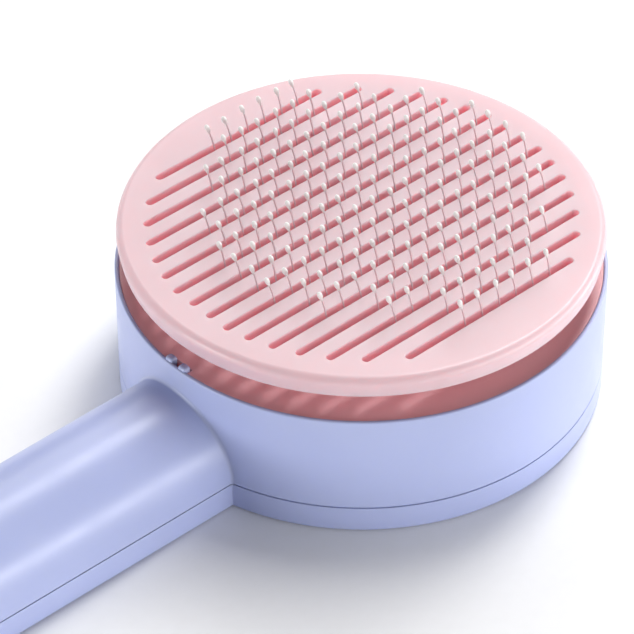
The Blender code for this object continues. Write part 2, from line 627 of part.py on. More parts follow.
# ---- Screws --------------------------------------------------------------------------------------
def cut_screw_slot(screw, place, head, z0, z1):
    x, y = place
    reach = head + OVERRUN
    half = SCREW_SLOT_WIDTH / 2
    cut(screw, blocks(screw.name + "_slot", [(x - reach, x + reach, y - half, y + half, z0, z1)]))


def make_screw(name, place, shank, head, head_bottom, tip_z):
    """Upright screw driven from below: slotted head at the bottom, plain shank up to the tip."""
    head_top = head_bottom + SCREW_HEAD_HEIGHT
    profile = [(0.0, tip_z), (shank, tip_z - shank), (shank, head_top), (head, head_top),
               (head, head_bottom), (0.0, head_bottom)]
    screw = turned(name, profile, PARTS, place, SCREW_STEPS, ZINC)
    cut_screw_slot(screw, place, head, head_bottom - OVERRUN, head_bottom + SCREW_SLOT_DEPTH)
    return screw


def make_button_screw():
    """The button's screw is driven from above, inside the spring well."""
    head_bottom = WELL_FLOOR_TOP + FIT
    head_top = head_bottom + SCREW_HEAD_HEIGHT
    tip = BUTTON_PILOT_FLOOR + FIT
    head, shank = BUTTON_SCREW_HEAD, BUTTON_SCREW_RADIUS
    profile = [(0.0, head_top), (head, head_top), (head, head_bottom), (shank, head_bottom),
               (shank, tip + shank), (0.0, tip)]
    screw = turned("button_screw", profile, PARTS, steps=SCREW_STEPS, material=ZINC)
    cut_screw_slot(screw, (0.0, 0.0), head, head_top - SCREW_SLOT_DEPTH, head_top + OVERRUN)
    return screw


def make_screws():
    """All the screws; the five that travel with the cleaning plate are returned."""
    moving = [make_button_screw()]
    seat = FRAME_BOTTOM - FIT - SCREW_HEAD_HEIGHT
    for number, place in enumerate(POSTS, 1):
        moving.append(make_screw("plate_screw_%d" % number, place, PLATE_SCREW_RADIUS, PLATE_SCREW_HEAD,
                                 seat, PLATE_SCREW_TIP))
    seat = BACKING_BOTTOM - FIT - SCREW_HEAD_HEIGHT
    for number, place in enumerate(BACKING_SCREWS, 1):
        make_screw("backing_screw_%d" % number, place, BACKING_SCREW_RADIUS, BACKING_SCREW_HEAD, seat,
                   BED_TOP - BED_SKIN - FIT)
    seat = COUNTERBORE_DEPTH - FIT - SCREW_HEAD_HEIGHT
    for kind, places in (("cover", BED_POSTS), ("handle", HANDLE_BOSSES)):
        for number, place in enumerate(places, 1):
            make_screw("%s_screw_%d" % (kind, number), place, COVER_SCREW_RADIUS, COVER_SCREW_HEAD,
                       seat, COVER_SCREW_TIP)
    return moving


def shade(obj):
    if obj.type == "MESH":
        obj.data.shade_smooth()
        obj.data.set_sharp_from_angle(angle=math.radians(35))


def main():
    make_front_housing()
    make_rear_cover()
    make_needle_bed()
    for row in range(len(ROW_COUNTS)):
        make_needle_row(row)
    make_backing_plate()
    make_return_spring()
    moving = [make_cleaning_plate(), make_ejector_frame(), make_push_button()] + make_screws()
    axis = bpy.data.objects.new("plate_lift_axis", None)
    PARTS.objects.link(axis)
    axis.location = at_head(0.0, 0.0)
    for obj in moving:
        obj.location -= axis.location
        obj.parent = axis
    for obj in PARTS.objects:
        shade(obj)


main()
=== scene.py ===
"""Slicker brush: moulded lavender housing, pink cleaning plate and bed, bent steel needles with coated tips.

Sizes are in millimetres in this file and become metres in the meshes (MM).
"""
import math
import random

import bmesh
import bpy
from mathutils import Matrix, Vector


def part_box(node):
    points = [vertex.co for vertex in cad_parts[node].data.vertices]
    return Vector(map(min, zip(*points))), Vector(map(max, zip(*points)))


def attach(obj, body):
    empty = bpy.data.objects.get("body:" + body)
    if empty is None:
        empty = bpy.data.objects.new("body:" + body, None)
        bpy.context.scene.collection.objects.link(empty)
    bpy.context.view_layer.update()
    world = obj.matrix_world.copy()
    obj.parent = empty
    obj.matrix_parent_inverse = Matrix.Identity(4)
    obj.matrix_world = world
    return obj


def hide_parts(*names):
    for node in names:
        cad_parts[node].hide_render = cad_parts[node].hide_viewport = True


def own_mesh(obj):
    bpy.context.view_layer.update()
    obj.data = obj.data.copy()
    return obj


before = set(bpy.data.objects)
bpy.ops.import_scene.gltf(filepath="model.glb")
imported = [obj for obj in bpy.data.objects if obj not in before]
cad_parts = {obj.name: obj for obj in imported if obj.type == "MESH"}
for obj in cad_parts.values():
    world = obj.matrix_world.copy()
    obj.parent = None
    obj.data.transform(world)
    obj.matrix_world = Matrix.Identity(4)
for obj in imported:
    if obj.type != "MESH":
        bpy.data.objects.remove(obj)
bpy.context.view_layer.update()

MM = 0.001


def millimetres(node):
    """A node's lowest and highest corners at rest, in millimetres."""
    low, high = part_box(node)
    return [v / MM for v in low], [v / MM for v in high]


# ---- Places taken from the frame -----------------------------------------------------------------
HOUSING_LOW, HOUSING_HIGH = millimetres("front_housing")
COVER_LOW = millimetres("rear_cover")[0]
PLATE_LOW, PLATE_HIGH = millimetres("cleaning_plate")
BED_LOW, BED_HIGH = millimetres("needle_bed")
BUTTON_LOW, BUTTON_HIGH = millimetres("push_button")

HEAD_X = (PLATE_LOW[0] + PLATE_HIGH[0]) / 2
PLATE_RADIUS = (PLATE_HIGH[0] - PLATE_LOW[0]) / 2
PLATE_TOP = PLATE_HIGH[2]
POST_FOOT = PLATE_LOW[2]
DRUM_RADIUS = (HOUSING_HIGH[1] - HOUSING_LOW[1]) / 2
HANDLE_TIP = HEAD_X - COVER_LOW[0]
BED_TOP = BED_HIGH[2]
BED_POST_FOOT = BED_LOW[2]
RIM_Z = BED_TOP + 0.3
BUTTON_FACE = BUTTON_LOW[2]
BUTTON_TOP = BUTTON_HIGH[2]

# ---- Sizes of the pieces -------------------------------------------------------------------------
COVER_HEIGHT = 5.6
SEAM = 0.3
SEAM_Z = COVER_HEIGHT + SEAM
WALL = 2.2
SHELL = 2.0
LIP_WALL = 0.8
HANDLE_HALF_WIDTH = 14.1
HANDLE_TAPER = 0.5
HANDLE_ARCH = 15.8
HANDLE_END = 17.0
HANDLE_FILLET = 0.6
NUB_NEAR, NUB_FAR = 0.85, 2.85    # each guide nub reaches from near to far of the handle's middle line
NUB_DEPTH = 1.7
NUB_RISE = 0.65             # above the rim
NUB_ROOT = 3.0              # below the bed, into the drum's wall
NUB_EASE = 0.5
HANDLE_BITE = 0.9           # the handle's skin ends this deep inside the drum's wall
BED_LEDGE_DROP = 0.3        # the housing's step under the bed
BOSS_RADIUS = 3.4
BOSS_ROOT_Z = 19.0
BOSS_FOOT_Z = 4.8
PILOT_RADIUS = 1.3          # bore that a screw's thread cuts into
COVER_EASE = 0.45
COVER_RIM_EASE = 0.12
BUTTON_OPENING = 15.4
SCREW_HEAD_HOLE = 2.7
TONGUE_GAP = 0.2
TONGUE_RISE = 1.8
TONGUE_WALL = 1.1
COVER_BOSS_RADIUS = 3.6
COVER_BOSS_TOP = 4.5
SCREW_SEAT_Z = 2.5
PLATE_CORNER_OVERHANG = 0.24      # the fillet brings the widest line back to the plate's radius
PLATE_CORNER_FILLET = 1.5
PLATE_DRAFT = 0.7
PLATE_THICKNESS = 4.6
PLATE_BOTTOM = PLATE_TOP - PLATE_THICKNESS
BED_THICKNESS = 2.4
BED_BOTTOM = BED_TOP - BED_THICKNESS
BED_GAP = 0.1               # between the bed's edge and the lip
BED_NOTCH_X = -45.7
BED_NOTCH_HALF_WIDTH = 3.0
BED_POST_HOLE = 2.6
BED_POST_RADIUS = 2.3

ROW_PITCH = 4.78
ROW_COUNTS = (6, 6, 10, 10, 14, 14, 16, 16, 16, 16, 14, 14, 10, 10, 6, 6)
SLOT_WIDTH = 1.6
SLOT_FIELD_RADIUS = 41.8
SLOT_MAX_HALF_LENGTH = 41.2
NEEDLE_PITCH = 4.41
NEEDLE_FIELD_X = 4.5
NEEDLE_LEAN = 2.25
FOOT_SHIFT = 0.3            # the wires stand this far ahead of the middle of their pitch
NEEDLE_WIRE = 0.36
NEEDLE_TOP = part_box("needle_row_08")[1][2] / MM
SPRING_WIRE = 1.0
SPRING_TURNS = 5.5
STRIP_END = 0.8             # the strip that carries a row reaches past its last needles
STRIP_HALF_WIDTH = 0.6
STRIP_LOW, STRIP_HIGH = 1.5, 0.3  # the strip's faces, below the bed
BEND_BELOW_TOP = 2.5        # the wires bend this far below the plate's top
TIP_DIAMETER = 1.14
TIP_LENGTH = 2.4

POST_RADIUS = 2.3
POST_SHOULDER_RADIUS = 3.2
POST_SHOULDER_Z = BED_TOP + 0.3
POST_PILOT_RADIUS = 1.2
POST_PILOT_DEPTH = 6.0
RIB_REACH = 4.0             # the rib that carries a post under the plate
RIB_HALF_WIDTH = 1.4
POST_SPREAD_X = 26.0
POST_Y = 5 * ROW_PITCH
POSTS = [(NEEDLE_FIELD_X + sx * POST_SPREAD_X, sy * POST_Y) for sx in (-1, 1) for sy in (-1, 1)]
BED_POST_CIRCLE = BED_HIGH[1] - 5.2
HEAD_SCREWS = [(x * BED_POST_CIRCLE, y * BED_POST_CIRCLE) for x, y in ((1, 0), (0, 1), (-1, 0), (0, -1))]
HANDLE_SCREW_FROM_DRUM = 24.0
HANDLE_SCREW_FROM_TIP = 29.0
HANDLE_SCREWS = [(-DRUM_RADIUS - HANDLE_SCREW_FROM_DRUM, 0.0), (HANDLE_SCREW_FROM_TIP - HANDLE_TIP, 0.0)]

WIRE_SLOT, BEAD_SLOT = 0, 1       # material slots of a needle row
ROUND = 256                       # facets round the head

# Studio: the floor lies FLOOR_GAP under the back, so that the two faces never coincide
FLOOR_GAP = 0.2
LIGHT_TARGET_Z = 20.0
WORLD_STRENGTH = 0.17
WHITE = "#FFFFFF"


# ---- Camera: above the handle's side of the head -------------------------------------------------
def place_camera():
    azimuth, elevation, roll = math.radians(-131.741), math.radians(40.486), math.radians(-0.182)
    distance = 710.05
    aim = Vector((HEAD_X - 14.71, -3.49, PLATE_TOP - 14.53))
    back = Vector((math.cos(elevation) * math.cos(azimuth), math.cos(elevation) * math.sin(azimuth),
                   math.sin(elevation)))
    right = Vector((0, 0, 1)).cross(back).normalized()
    up = back.cross(right)
    level = Matrix((right, up, back)).transposed()
    turned = level @ Matrix.Rotation(roll, 3, "Z")
    data = bpy.data.cameras.new("studio_camera")
    data.sensor_width = 36.0
    data.lens = 209.08
    data.clip_end = 10.0
    camera = bpy.data.objects.new("studio_camera", data)
    camera.matrix_world = Matrix.Translation((aim + back * distance) * MM) @ turned.to_4x4()
    bpy.context.scene.collection.objects.link(camera)
    bpy.context.scene.camera = camera


# ---- Materials -----------------------------------------------------------------------------------
def linear(hex_colour):
    """sRGB hex to linear RGBA."""
    channels = [int(hex_colour[i:i + 2], 16) / 255 for i in (1, 3, 5)]
    return [c / 12.92 if c <= 0.04045 else ((c + 0.055) / 1.055) ** 2.4 for c in channels] + [1.0]


def add_node(tree, kind, inputs=None, stops=(), **settings):
    """Add a node: inputs are values or the sockets that feed them, stops are a ramp's two colours."""
    node = tree.nodes.new(kind)
    for element, colour in zip(node.color_ramp.elements if stops else (), stops):
        element.color = linear(colour)
    for name, value in settings.items():
        setattr(node, name, value)
    for name, value in (inputs or {}).items():
        if isinstance(value, bpy.types.NodeSocket):
            tree.links.new(value, node.inputs[name])
        else:
            node.inputs[name].default_value = value
    return node


def start_material(name):
    """A new node material: itself, its tree, its shader and the object coordinates for its patterns."""
    material = bpy.data.materials.new(name)
    material.use_nodes = True
    tree = material.node_tree
    shader = tree.nodes["Principled BSDF"]
    place = add_node(tree, "ShaderNodeTexCoord").outputs["Object"]
    return material, tree, shader, place


def per_metre(size_mm):
    """Noise scale that gives features of this size."""
    return 1.0 / (size_mm * MM)


def moulded_plastic(name, colour, deep, roughness, subsurface, radius_mm):
    """Injection-moulded plastic: nearly even colour with faint flow streaks, a fine eroded satin skin,
    slow sink waves in the walls and soft polish marks that break up the highlights."""
    material, tree, shader, place = start_material(name)
    flow = add_node(tree, "ShaderNodeTexNoise", {"Vector": place, "Scale": per_metre(38), "Detail": 2.0,
                                                 "Distortion": 0.6})
    body = add_node(tree, "ShaderNodeValToRGB", {"Fac": flow.outputs["Fac"]}, (deep, colour))
    body.color_ramp.elements[0].position = 0.3
    body.color_ramp.elements[1].position = 0.7
    tree.links.new(body.outputs["Color"], shader.inputs["Base Color"])
    # handling polish: patches of 9 mm a little smoother or rougher than the rest
    polish = add_node(tree, "ShaderNodeTexNoise", {"Vector": place, "Scale": per_metre(9), "Detail": 5.0,
                                                   "Roughness": 0.6})
    satin = add_node(tree, "ShaderNodeMapRange", {"Value": polish.outputs["Fac"], "From Min": 0.3,
                                                  "From Max": 0.7, "To Min": roughness - 0.05,
                                                  "To Max": roughness + 0.06})
    tree.links.new(satin.outputs["Result"], shader.inputs["Roughness"])
    # walls sink slightly over the ribs: waves of 22 mm that bend the reflections
    sink = add_node(tree, "ShaderNodeTexNoise", {"Vector": place, "Scale": per_metre(22), "Detail": 1.0})
    waves = add_node(tree, "ShaderNodeBump", {"Height": sink.outputs["Fac"], "Strength": 0.25,
                                              "Distance": 0.15 * MM})
    # the mould's eroded skin, 0.35 mm grain
    skin = add_node(tree, "ShaderNodeTexNoise", {"Vector": place, "Scale": per_metre(0.35), "Detail": 3.0})
    grain = add_node(tree, "ShaderNodeBump", {"Height": skin.outputs["Fac"], "Strength": 0.10,
                                              "Distance": 0.03 * MM, "Normal": waves.outputs["Normal"]})
    tree.links.new(grain.outputs["Normal"], shader.inputs["Normal"])
    shader.inputs["IOR"].default_value = 1.5
    shader.inputs["Subsurface Weight"].default_value = subsurface
    shader.inputs["Subsurface Radius"].default_value = [r * MM for r in radius_mm]
    shader.inputs["Subsurface Scale"].default_value = 1.0
    return material


def drawn_steel_wire():
    """Drawn stainless wire: metal with fine lengthwise drawing lines, tinted pink as a painted reflection of
    the pink plate.
    """
    material, tree, shader, place = start_material("drawn_stainless_wire")
    stretch = add_node(tree, "ShaderNodeMapping", {"Vector": place, "Scale": (1.0, 1.0, 0.06)})
    lines = add_node(tree, "ShaderNodeTexNoise", {"Vector": stretch.outputs["Vector"],
                                                  "Scale": per_metre(0.12), "Detail": 4.0})
    # both tones carry a pink tint: painted reflection of the surrounding pink plate on the steel
    tone = add_node(tree, "ShaderNodeValToRGB", {"Fac": lines.outputs["Fac"]}, ("#D6C4C8", "#FCF2F4"))
    tree.links.new(tone.outputs["Color"], shader.inputs["Base Color"])
    rough = add_node(tree, "ShaderNodeMapRange", {"Value": lines.outputs["Fac"], "To Min": 0.38,
                                                  "To Max": 0.56})
    tree.links.new(rough.outputs["Result"], shader.inputs["Roughness"])
    bump = add_node(tree, "ShaderNodeBump", {"Height": lines.outputs["Fac"], "Strength": 0.2,
                                             "Distance": 0.02 * MM})
    tree.links.new(bump.outputs["Normal"], shader.inputs["Normal"])
    shader.inputs["Metallic"].default_value = 1.0
    return material


def dipped_epoxy():
    """Epoxy beads dipped on the needle ends: off-white, glossy, slightly uneven where the drop has set."""
    material, tree, shader, place = start_material("dipped_epoxy_tip")
    cloud = add_node(tree, "ShaderNodeTexNoise", {"Vector": place, "Scale": per_metre(1.4), "Detail": 3.0})
    tone = add_node(tree, "ShaderNodeValToRGB", {"Fac": cloud.outputs["Fac"]}, ("#DAD9D8", "#F0EFED"))
    tree.links.new(tone.outputs["Color"], shader.inputs["Base Color"])
    rough = add_node(tree, "ShaderNodeMapRange", {"Value": cloud.outputs["Fac"], "To Min": 0.22,
                                                  "To Max": 0.36})
    tree.links.new(rough.outputs["Result"], shader.inputs["Roughness"])
    bump = add_node(tree, "ShaderNodeBump", {"Height": cloud.outputs["Fac"], "Strength": 0.3,
                                             "Distance": 0.05 * MM})
    tree.links.new(bump.outputs["Normal"], shader.inputs["Normal"])
    shader.inputs["IOR"].default_value = 1.55
    shader.inputs["Subsurface Weight"].default_value = 0.2
    shader.inputs["Subsurface Radius"].default_value = (0.4 * MM, 0.4 * MM, 0.35 * MM)
    shader.inputs["Subsurface Scale"].default_value = 1.0
    return material


def plated_steel(name, dark, light, rough_low, rough_high):
    """Zinc-plated or oiled steel: cloudy grey metal, matter in the clouds, with faint turning lines."""
    material, tree, shader, place = start_material(name)
    cloud = add_node(tree, "ShaderNodeTexNoise", {"Vector": place, "Scale": per_metre(1.2), "Detail": 5.0})
    tone = add_node(tree, "ShaderNodeValToRGB", {"Fac": cloud.outputs["Fac"]}, (dark, light))
    tree.links.new(tone.outputs["Color"], shader.inputs["Base Color"])
    rough = add_node(tree, "ShaderNodeMapRange", {"Value": cloud.outputs["Fac"], "To Min": rough_low,
                                                  "To Max": rough_high})
    tree.links.new(rough.outputs["Result"], shader.inputs["Roughness"])
    turning = add_node(tree, "ShaderNodeTexWave", {"Vector": place, "Scale": per_metre(2.0),
                                                   "Distortion": 1.5}, wave_type="RINGS")
    bump = add_node(tree, "ShaderNodeBump", {"Height": turning.outputs["Fac"], "Strength": 0.15,
                                             "Distance": 0.02 * MM})
    tree.links.new(bump.outputs["Normal"], shader.inputs["Normal"])
    shader.inputs["Metallic"].default_value = 1.0
    return material


def studio_paper():
    """Seamless white paper under the brush: matt with a faint fibre mottle."""
    material, tree, shader, place = start_material("seamless_paper")
    fibre = add_node(tree, "ShaderNodeTexNoise", {"Vector": place, "Scale": per_metre(3), "Detail": 6.0})
    tone = add_node(tree, "ShaderNodeValToRGB", {"Fac": fibre.outputs["Fac"]}, ("#F6F6F6", "#FCFCFC"))
    tree.links.new(tone.outputs["Color"], shader.inputs["Base Color"])
    shader.inputs["Roughness"].default_value = 0.95
    return material


# ---- Mesh helpers, around the head's axis --------------------------------------------------------
def to_object(name, bm, materials, smooth_angle=30.0, weld=True):
    """Turn a finished bmesh into an object that is smooth up to the angle; weld joins doubled points."""
    if weld:
        bmesh.ops.remove_doubles(bm, verts=bm.verts, dist=0.00002 * MM)
    bmesh.ops.recalc_face_normals(bm, faces=bm.faces)
    mesh = bpy.data.meshes.new(name)
    bm.to_mesh(mesh)
    bm.free()
    for material in materials:
        mesh.materials.append(material)
    mesh.shade_smooth()
    mesh.set_sharp_from_angle(angle=math.radians(smooth_angle))
    obj = bpy.data.objects.new(name, mesh)
    bpy.context.scene.collection.objects.link(obj)
    return obj


def publish(obj, body, slot, *nodes):
    """A finished piece: it rides on its body and stands for its CAD nodes, which it hides; slot is not used.
    """
    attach(obj, body)
    if nodes:
        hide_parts(*nodes)


def eased(corners, steps=5):
    """Profile points (radius, height, fillet) with each corner rounded by its fillet."""
    points = []
    count = len(corners)
    for i, (r, z, fillet) in enumerate(corners):
        here = Vector((r, z))
        before = (Vector(corners[i - 1][:2]) - here).normalized()
        after = (Vector(corners[(i + 1) % count][:2]) - here).normalized()
        if fillet <= 0.0:
            points.append((r, z))
            continue
        half = before.angle(after) / 2
        run = fillet / math.tan(half)
        centre = here + (before + after).normalized() * fillet / math.sin(half)
        first = here + before * run - centre
        last = here + after * run - centre
        sweep = first.angle_signed(last)
        for k in range(steps + 1):
            turned = first.copy()
            turned.rotate(Matrix.Rotation(-sweep * k / steps, 2))
            points.append(tuple(centre + turned))
    return points


def bridge(bm, ring, next_ring, material=0):
    """Quads between two rings of the same number of points."""
    for i in range(len(ring)):
        j = (i + 1) % len(ring)
        bm.faces.new((ring[i], ring[j], next_ring[j], next_ring[i])).material_index = material


def skin_tube(bm, rings, material=0):
    """A closed solid through rings: quads along it and a flat face at each end."""
    for ring, next_ring in zip(rings, rings[1:]):
        bridge(bm, ring, next_ring, material)
    bm.faces.new(rings[0]).material_index = material
    bm.faces.new(rings[-1]).material_index = material


def lathe(bm, profile, place=(0.0, 0.0), steps=ROUND, closed=True):
    """Turn a profile about an upright axis at place; closed joins its last point to its first."""
    x0, y0 = HEAD_X + place[0], place[1]
    rings = []
    for r, z in profile:
        if r < 1e-6:
            rings.append([bm.verts.new(Vector((x0, y0, z)) * MM)])
            continue
        rings.append([bm.verts.new(Vector((x0 + r * math.cos(a), y0 + r * math.sin(a), z)) * MM)
                      for a in (2 * math.pi * i / steps for i in range(steps))])
    pairs = list(zip(rings, rings[1:]))
    if closed and len(rings[0]) > 1 and len(rings[-1]) > 1:
        pairs.append((rings[-1], rings[0]))
    for upper, lower in pairs:
        if len(upper) > 1 and len(lower) > 1:
            bridge(bm, upper, lower)
            continue
        for i in range(steps):
            j = (i + 1) % steps
            if len(upper) == 1:
                bm.faces.new((upper[0], lower[j], lower[i]))
            else:
                bm.faces.new((upper[i], upper[j], lower[0]))


def eased_block(bm, low, high, width, steps=3):
    """Block with rounded edges between two corners given round the head's axis."""
    size = Vector(high) - Vector(low)
    middle = (Vector(high) + Vector(low)) / 2 + Vector((HEAD_X, 0, 0))
    made = bmesh.ops.create_cube(bm, size=1.0, matrix=Matrix.Translation(middle * MM)
                                 @ Matrix.Diagonal((*(size * MM), 1.0)))
    edges = {e for v in made["verts"] for e in v.link_edges}
    bmesh.ops.bevel(bm, geom=list(edges), offset=width * MM, segments=steps, profile=0.5, affect="EDGES")


def raised_outline(bm, outline, z0, z1):
    """Flat outline raised into a solid, for cutting."""
    low = [bm.verts.new(Vector((HEAD_X + x, y, z0)) * MM) for x, y in outline]
    high = [bm.verts.new(Vector((HEAD_X + x, y, z1)) * MM) for x, y in outline]
    bm.faces.new(low)
    bm.faces.new(high)
    count = len(outline)
    for i in range(count):
        j = (i + 1) % count
        bm.faces.new((low[i], low[j], high[j], high[i]))


def circle(x, y, radius, steps):
    """Outline of a round hole or disc."""
    return [(x + radius * math.cos(a), y + radius * math.sin(a))
            for a in (2 * math.pi * i / steps for i in range(steps))]


def apply_modifiers(obj):
    """Replace the mesh by its evaluated form."""
    evaluated = obj.evaluated_get(bpy.context.evaluated_depsgraph_get())
    mesh = bpy.data.meshes.new_from_object(evaluated, preserve_all_data_layers=True,
                                           depsgraph=bpy.context.evaluated_depsgraph_get())
    obj.modifiers.clear()
    obj.data = mesh


def cut_and_ease(obj, cutter, ease_mm, steps=3, angle=40.0):
    """Cut the cutter out of the piece, then round the fresh edges."""
    boolean = obj.modifiers.new("cut", "BOOLEAN")
    boolean.operation = "DIFFERENCE"
    boolean.object = cutter
    boolean.solver = "EXACT"
    boolean.material_mode = "TRANSFER"
    bevel = obj.modifiers.new("ease", "BEVEL")
    bevel.limit_method = "ANGLE"
    bevel.angle_limit = math.radians(angle)
    bevel.width = ease_mm * MM
    bevel.segments = steps
    bevel.use_clamp_overlap = True
    bevel.harden_normals = False
    bpy.context.view_layer.update()
    apply_modifiers(obj)
    bpy.data.objects.remove(cutter)
    obj.data.shade_smooth()
    obj.data.set_sharp_from_angle(angle=math.radians(50))
    weighted = obj.modifiers.new("even_shading", "WEIGHTED_NORMAL")
    weighted.keep_sharp = True
    bpy.context.view_layer.update()
    apply_modifiers(obj)


# ---- Handle form ---------------------------------------------------------------------------------
def end_factor(distance, inset):
    """One along the handle, then a quarter ellipse down to nothing at its tip."""
    into = distance - (HANDLE_TIP - HANDLE_END)
    if into <= 0.0:
        return 1.0
    return math.sqrt(max(0.0, 1.0 - (into / (HANDLE_END - inset)) ** 2))


def half_width(distance, inset=0.0):
    """Half of the handle's width at a distance from the head's axis; it tapers a little."""
    along = max(0.0, (distance - DRUM_RADIUS) / (HANDLE_TIP - DRUM_RADIUS))
    return (HANDLE_HALF_WIDTH - HANDLE_TAPER * along - inset) * end_factor(distance, inset)


def end_stations(first, inset=0.0, straight=24, around=26):
    """Distances along the handle from the head's axis, closer together round its end."""
    start = HANDLE_TIP - HANDLE_END
    run = [first + (start - first) * i / straight for i in range(straight)]
    reach = HANDLE_END - inset
    return run + [start + reach * math.sin(math.pi / 2 * i / around) for i in range(around)]


def plan_outline(inset, head_steps=200):
    """The brush from above, moved in by inset: the head's circle, then round the handle."""
    radius = DRUM_RADIUS - inset
    width = HANDLE_HALF_WIDTH - inset
    meet = math.pi - math.asin(width / radius)
    head = [(radius * math.cos(a), radius * math.sin(a))
            for a in (-meet + 2 * meet * i / head_steps for i in range(head_steps + 1))]
    side = [(-d, half_width(d, inset)) for d in end_stations(DRUM_RADIUS + 1.0, inset)]
    tip = [(-(HANDLE_TIP - inset), 0.0)]
    return head + side + tip + [(x, -y) for x, y in reversed(side)]


def outline_stack(bm, levels, cap=True):
    """Skin through plan outlines at (inset, height) levels, with flat ends."""
    rings = [[bm.verts.new(Vector((HEAD_X + x, y, z)) * MM) for x, y in plan_outline(inset)]
             for inset, z in levels]
    pairs = list(zip(rings, rings[1:]))
    if not cap:
        pairs.append((rings[-1], rings[0]))
    for ring, next_ring in pairs:
        bridge(bm, ring, next_ring)
    if cap:
        bm.faces.new(rings[0])
        bm.faces.new(rings[-1])


# ---- Pieces --------------------------------------------------------------------------------------
def build_housing(lavender):
    """Drum wall with its lip, arched handle shell, two guide nubs and the handle's screw bosses."""
    bm = bmesh.new()
    ledge = BED_BOTTOM - BED_LEDGE_DROP
    wall = eased([(DRUM_RADIUS, RIM_Z, 0.35), (DRUM_RADIUS, SEAM_Z, 0.12),
                  (DRUM_RADIUS - WALL, SEAM_Z, 0.2), (DRUM_RADIUS - WALL, ledge, 0.0),
                  (DRUM_RADIUS - LIP_WALL, ledge, 0.0), (DRUM_RADIUS - LIP_WALL, RIM_Z, 0.25)])
    lathe(bm, wall)
    handle_skin(bm)
    nub_out = -(DRUM_RADIUS - LIP_WALL / 2)
    for side in (-1, 1):
        y0, y1 = sorted((side * NUB_NEAR, side * NUB_FAR))
        eased_block(bm, (nub_out, y0, BED_BOTTOM - NUB_ROOT),
                    (nub_out + NUB_DEPTH, y1, RIM_Z + NUB_RISE), NUB_EASE)
    for x, y in HANDLE_SCREWS:
        lathe(bm, eased([(BOSS_RADIUS, BOSS_ROOT_Z, 0.0), (BOSS_RADIUS, BOSS_FOOT_Z, 0.2),
                         (PILOT_RADIUS, BOSS_FOOT_Z, 0.2), (PILOT_RADIUS, BOSS_ROOT_Z, 0.0)]), (x, y), 32)
    housing = to_object("drum_and_handle_shell", bm, [lavender], 35.0)
    publish(housing, "body", "lavender_plastic", "front_housing")


def handle_skin(bm, around=48):
    """Arched handle shell: it flares by a small fillet where it meets the drum and ends inside its wall."""
    def section(distance, flare, inset):
        width = half_width(distance, inset) + flare
        arch = (HANDLE_ARCH - inset) * end_factor(distance, inset) + flare
        return [(width * math.cos(a), SEAM_Z + arch * math.sin(a))
                for a in (math.pi * i / around for i in range(around + 1))]

    def on_drum(y, radius):
        return math.sqrt(max(0.0, radius ** 2 - y ** 2))

    fillet_steps = 8
    rings = []
    for k in range(fillet_steps + 1):
        lift = HANDLE_FILLET * (1 - math.sin(math.pi / 2 * k / fillet_steps))
        out = HANDLE_FILLET * (1 - math.cos(math.pi / 2 * k / fillet_steps))
        ring = section(DRUM_RADIUS, lift, 0.0)
        rings.append([(-(on_drum(y, DRUM_RADIUS) + out), y, z) for y, z in ring])
    buried = [(-on_drum(y, DRUM_RADIUS - HANDLE_BITE), y, z)
              for y, z in section(DRUM_RADIUS, HANDLE_FILLET, 0.0)]
    rings.insert(0, buried)
    for distance in end_stations(DRUM_RADIUS + HANDLE_FILLET + 1.0):
        rings.append([(-distance, y, z) for y, z in section(distance, 0.0, 0.0)])
    rings.append([(-HANDLE_TIP, 0.0, SEAM_Z)] * (around + 1))
    outer = [[bm.verts.new(Vector((HEAD_X + x, y, z)) * MM) for x, y, z in ring] for ring in rings]
    inner = []
    inner_stations = [DRUM_RADIUS - HANDLE_BITE] + end_stations(DRUM_RADIUS + 1.0, SHELL)
    for distance in inner_stations + [HANDLE_TIP - SHELL]:
        inner.append([bm.verts.new(Vector((HEAD_X - distance, y, z)) * MM)
                      for y, z in section(distance, 0.0, SHELL)])
    for grid in (outer, inner):
        for a, b in zip(grid, grid[1:]):
            for i in range(around):
                if (a[i].co - a[i + 1].co).length + (b[i].co - b[i + 1].co).length > 1e-9:
                    bm.faces.new((a[i], a[i + 1], b[i + 1], b[i]))


